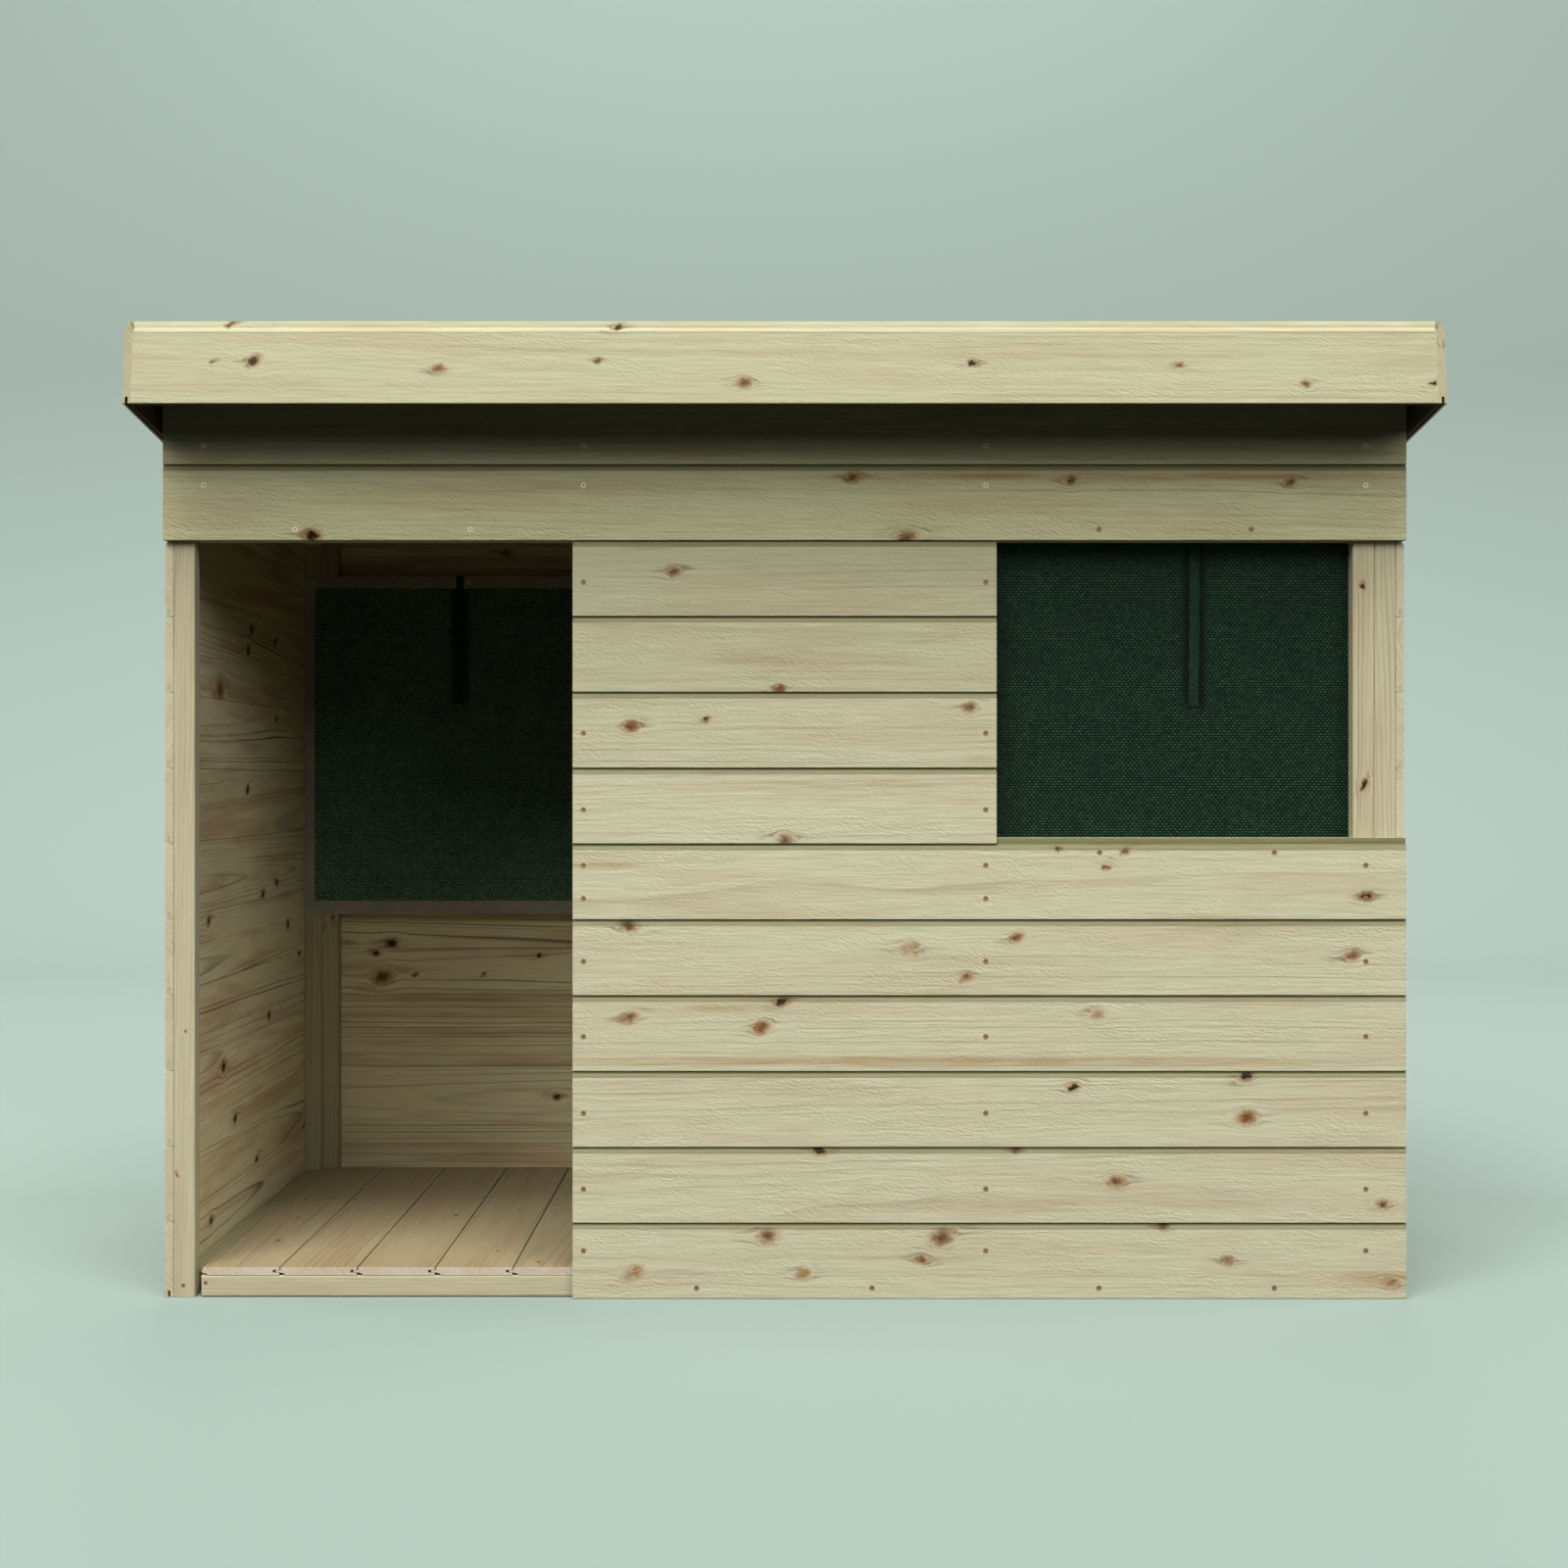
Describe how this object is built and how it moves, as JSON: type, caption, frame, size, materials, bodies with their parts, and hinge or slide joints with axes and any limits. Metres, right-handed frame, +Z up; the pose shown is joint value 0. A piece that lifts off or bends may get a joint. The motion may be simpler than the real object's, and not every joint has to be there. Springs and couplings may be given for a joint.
{
  "type": "child's timber playhouse with a pent roof",
  "caption": "Child's playhouse of horizontal timber boards on a light frame, with a pent roof and deep fascia, open doorway, boarded floor and window openings with cloth blinds.",
  "frame": {"origin": "at ground level under the middle of the walls, which is also under the middle of the roof", "axes": "+X along the front to the right as seen from outside, +Y from front to back, +Z up; the front faces -Y"},
  "size_m": [1.884, 1.176, 1.4223],
  "materials": {
    "cladding_pine": "rough sawn",
    "fascia_pine": "rough sawn",
    "framing_pine": "planed",
    "floor_pine": "planed",
    "roof_pine": "planed",
    "blind_cloth": "woven",
    "strap_webbing": "woven"
  },
  "bodies": {
    "root": {"back_blind": "blind_cloth", "back_blind_strap": "strap_webbing", "back_bottom_rail": "framing_pine", "back_corner_stud": "framing_pine", "back_end_stud": "framing_pine", "back_fascia": "fascia_pine", "back_head_rail": "framing_pine", "back_header_cladding": "cladding_pine", "back_lower_cladding": "cladding_pine", "back_middle_cladding": "cladding_pine", "back_middle_stud": "framing_pine", "back_sill_rail": "framing_pine", "back_top_rail": "framing_pine", "back_window_stud": "framing_pine", "floor_bearers": "framing_pine", "floor_boards": "floor_pine", "front_blind": "blind_cloth", "front_blind_strap": "strap_webbing", "front_door_head_rail": "framing_pine", "front_door_stud": "framing_pine", "front_fascia": "fascia_pine", "front_header_cladding": "cladding_pine", "front_header_stud": "framing_pine", "front_lower_cladding": "cladding_pine", "front_pier_cladding": "cladding_pine", "front_pier_stud": "framing_pine", "front_sill_rail": "framing_pine", "front_top_rail": "framing_pine", "front_window_head_rail": "framing_pine", "front_window_stud": "framing_pine", "left_back_post": "framing_pine", "left_bottom_rail": "framing_pine", "left_fascia": "fascia_pine", "left_front_post": "framing_pine", "left_side_cladding": "cladding_pine", "left_top_rail": "framing_pine", "right_back_post": "framing_pine", "right_bottom_rail": "framing_pine", "right_fascia": "fascia_pine", "right_front_post": "framing_pine", "right_side_cladding": "cladding_pine", "right_top_rail": "framing_pine", "roof_boards": "roof_pine", "roof_rails": "framing_pine"}
  },
  "joints": []
}
